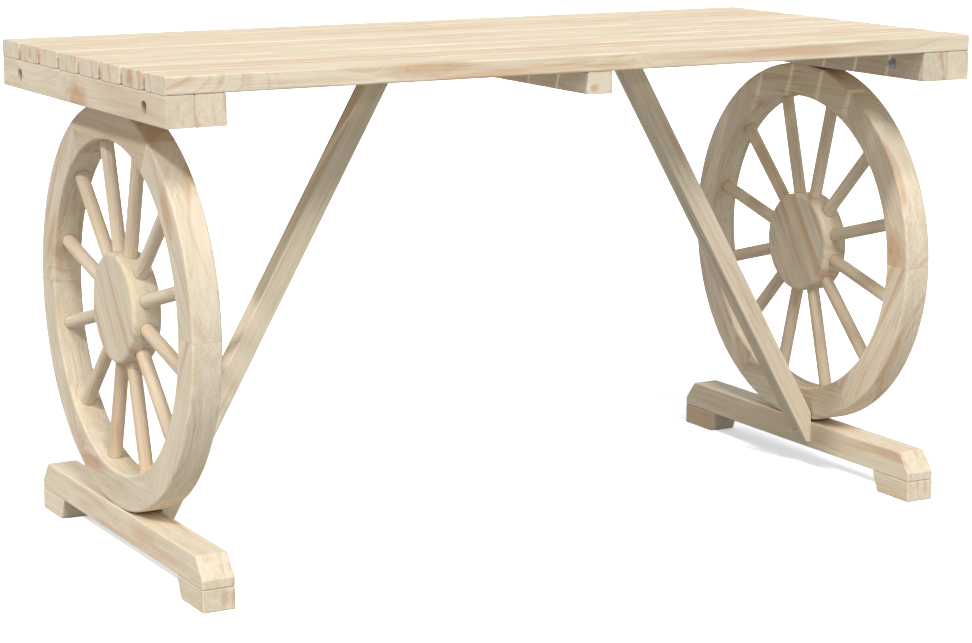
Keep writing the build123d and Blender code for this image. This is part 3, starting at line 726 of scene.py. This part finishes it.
class WHEELTABLE_OT_fasteners(bpy.types.Operator):
    """Finish the screws, bolts, washers and nuts"""
    bl_idname = "wheeltable.fasteners"
    bl_label = "Finish Fasteners"

    def execute(self, context):
        zinc = settings().zinc
        # bright zinc plating over steel: a bluish metal, cloudy and half dull
        material = bpy.data.materials.new("zinc_plated_steel")
        material.use_nodes = True
        tree = material.node_tree
        tree.nodes.clear()
        place = node(tree, "ShaderNodeTexCoord").outputs["Object"]
        cloud = node(tree, "ShaderNodeTexNoise", {"Vector": place, "Scale": 1 / zinc.grain, "Detail": 3})
        darker = tuple(ZINC_CLOUD * c for c in zinc.colour)
        colour = node(tree, "ShaderNodeMix",
                      {0: cloud.outputs["Fac"], 6: rgba(darker), 7: rgba(zinc.colour)}, data_type="RGBA")
        rough = node(tree, "ShaderNodeMapRange",
                     {"Value": cloud.outputs["Fac"], "To Min": zinc.roughness - ZINC_SMOOTHER,
                      "To Max": zinc.roughness + ZINC_DULLER})
        shader = node(tree, "ShaderNodeBsdfPrincipled",
                      {"Base Color": colour.outputs[2], "Metallic": 1.0, "Roughness": rough.outputs[0]})
        node(tree, "ShaderNodeOutputMaterial", {"Surface": shader.outputs[0]})
        for name in ("slat_screws", "wheel_screws", "foot_pad_screws", "brace_screws",
                     "rail_bolts", "rail_washers", "rail_nuts"):
            dress(name, material)
        return {"FINISHED"}


def seen_directly(tree):
    """1 for a ray from the camera, or for one that a glossy or a clear surface sends on."""
    ray = node(tree, "ShaderNodeLightPath").outputs
    total = node(tree, "ShaderNodeMath", {0: ray["Is Camera Ray"], 1: ray["Is Glossy Ray"]},
                 operation="ADD")
    return node(tree, "ShaderNodeMath", {0: total.outputs[0], 1: ray["Is Transmission Ray"]},
                operation="ADD", use_clamp=True).outputs[0]


class WHEELTABLE_OT_stage(bpy.types.Operator):
    """Lay the white floor and set the lamps and the camera"""
    bl_idname = "wheeltable.stage"
    bl_label = "Set the Stage"

    def execute(self, context):
        stage = settings().stage
        self.floor(stage)
        self.sky(context, stage)
        self.lamp(context, "key_lamp", stage.key, stage.key_spread, stage.key_from)
        self.lamp(context, "fill_lamp", stage.fill, stage.fill_spread, stage.fill_from)
        self.camera(context, stage)
        context.scene.view_settings.view_transform = "Standard"
        return {"FINISHED"}

    def floor(self, stage):
        """A flat square: its two parameters run from one side to the other."""
        across = np.array((-0.5, 0.5)) * stage.floor_size
        x, y = np.meshgrid(across, across)
        corners = np.stack([x.ravel(), y.ravel(), np.zeros(x.size)], axis=1)
        mesh = bpy.data.meshes.new("floor")
        mesh.from_pydata(corners.tolist(), [], [(0, 1, 3, 2)])
        floor = bpy.data.objects.new("floor", mesh)
        bpy.context.scene.collection.objects.link(floor)
        # white paper, flat and without gloss: other surfaces' gloss shows it plain white, and only
        # the camera sees it brighter, so that its shadow stays faint without more light on the table
        material = bpy.data.materials.new("white_paper_floor")
        material.use_nodes = True
        tree = material.node_tree
        tree.nodes.clear()
        bounce = [stage.floor_bounce] * 3 + [1]
        white = [stage.floor_white * channel for channel in stage.floor_tint] + [1]
        plain = [*stage.floor_tint, 1]
        tone = node(tree, "ShaderNodeMix", {0: seen_directly(tree), 6: bounce, 7: plain}, data_type="RGBA")
        camera_ray = node(tree, "ShaderNodeLightPath").outputs["Is Camera Ray"]
        tone = node(tree, "ShaderNodeMix", {0: camera_ray, 6: tone.outputs[2], 7: white}, data_type="RGBA")
        shader = node(tree, "ShaderNodeBsdfDiffuse", {"Color": tone.outputs[2]})
        node(tree, "ShaderNodeOutputMaterial", {"Surface": shader.outputs[0]})
        mesh.materials.append(material)

    def sky(self, context, stage):
        """Even light from the walls of a white room, which falls off towards straight above."""
        world = bpy.data.worlds.new("studio")
        world.use_nodes = True
        tree = world.node_tree
        tree.nodes.clear()
        towards = node(tree, "ShaderNodeTexCoord").outputs["Generated"]
        height = node(tree, "ShaderNodeSeparateXYZ", {0: towards}).outputs["Z"]
        strength = node(tree, "ShaderNodeMapRange", {"Value": height, "To Min": stage.sky,
                                                     "To Max": stage.sky * stage.overhead}).outputs[0]
        even = node(tree, "ShaderNodeVectorMath", {0: stage.sky_tint, "Scale": strength},
                    operation="SCALE").outputs[0]
        tone = node(tree, "ShaderNodeMix", {0: seen_directly(tree), 6: even, 7: (1, 1, 1, 1)},
                    data_type="RGBA")
        shader = node(tree, "ShaderNodeBackground", {"Color": tone.outputs[2], "Strength": 1.0})
        node(tree, "ShaderNodeOutputWorld", {"Surface": shader.outputs[0]})
        context.scene.world = world

    def lamp(self, context, name, strength, spread, comes_from):
        """A distant lamp that shines from the given direction."""
        light = bpy.data.lights.new(name, "SUN")
        light.energy, light.angle = strength, spread
        lamp = bpy.data.objects.new(name, light)
        lamp.rotation_euler = Vector(comes_from).to_track_quat("Z", "Y").to_euler()
        context.scene.collection.objects.link(lamp)

    def camera(self, context, stage):
        lens = bpy.data.cameras.new("camera")
        lens.lens, lens.sensor_width = stage.lens, SENSOR_WIDTH
        camera = bpy.data.objects.new("camera", lens)
        camera.location = stage.camera_place
        camera.rotation_euler = (math.pi / 2 - stage.camera_pitch, 0, -stage.camera_yaw)
        context.scene.collection.objects.link(camera)
        context.scene.camera = camera


OPERATORS = (
    WHEELTABLE_OT_top_slats, WHEELTABLE_OT_rails_and_battens, WHEELTABLE_OT_felloes, WHEELTABLE_OT_spokes,
    WHEELTABLE_OT_hubs, WHEELTABLE_OT_feet, WHEELTABLE_OT_braces, WHEELTABLE_OT_dowels,
    WHEELTABLE_OT_fasteners, WHEELTABLE_OT_stage,
)


class WHEELTABLE_PT_panel(bpy.types.Panel):
    """Lists the finishes and the stage, with their sizes and colours"""
    bl_idname = "WHEELTABLE_PT_panel"
    bl_label = "Wagon Wheel Table"
    bl_space_type = "VIEW_3D"
    bl_region_type = "UI"
    bl_category = "Wheel Table"

    def draw(self, context):
        for operator in OPERATORS:
            self.layout.operator(operator.bl_idname)
        for part in ("fir", "zinc", "stage"):
            group = getattr(context.scene.wheel_table, part)
            box = self.layout.box()
            for name in group.__annotations__:
                box.prop(group, name)


CLASSES = (WHEELTABLE_PG_fir, WHEELTABLE_PG_zinc, WHEELTABLE_PG_stage, WHEELTABLE_PG_settings,
           *OPERATORS, WHEELTABLE_PT_panel)


def register():
    for cls in CLASSES:
        bpy.utils.register_class(cls)
    bpy.types.Scene.wheel_table = PointerProperty(type=WHEELTABLE_PG_settings)


def unregister():
    del bpy.types.Scene.wheel_table
    for cls in reversed(CLASSES):
        bpy.utils.unregister_class(cls)


def main():
    register()
    for operator in OPERATORS:
        group, name = operator.bl_idname.split(".")
        getattr(getattr(bpy.ops, group), name)()


if __name__ == "__main__":
    main()
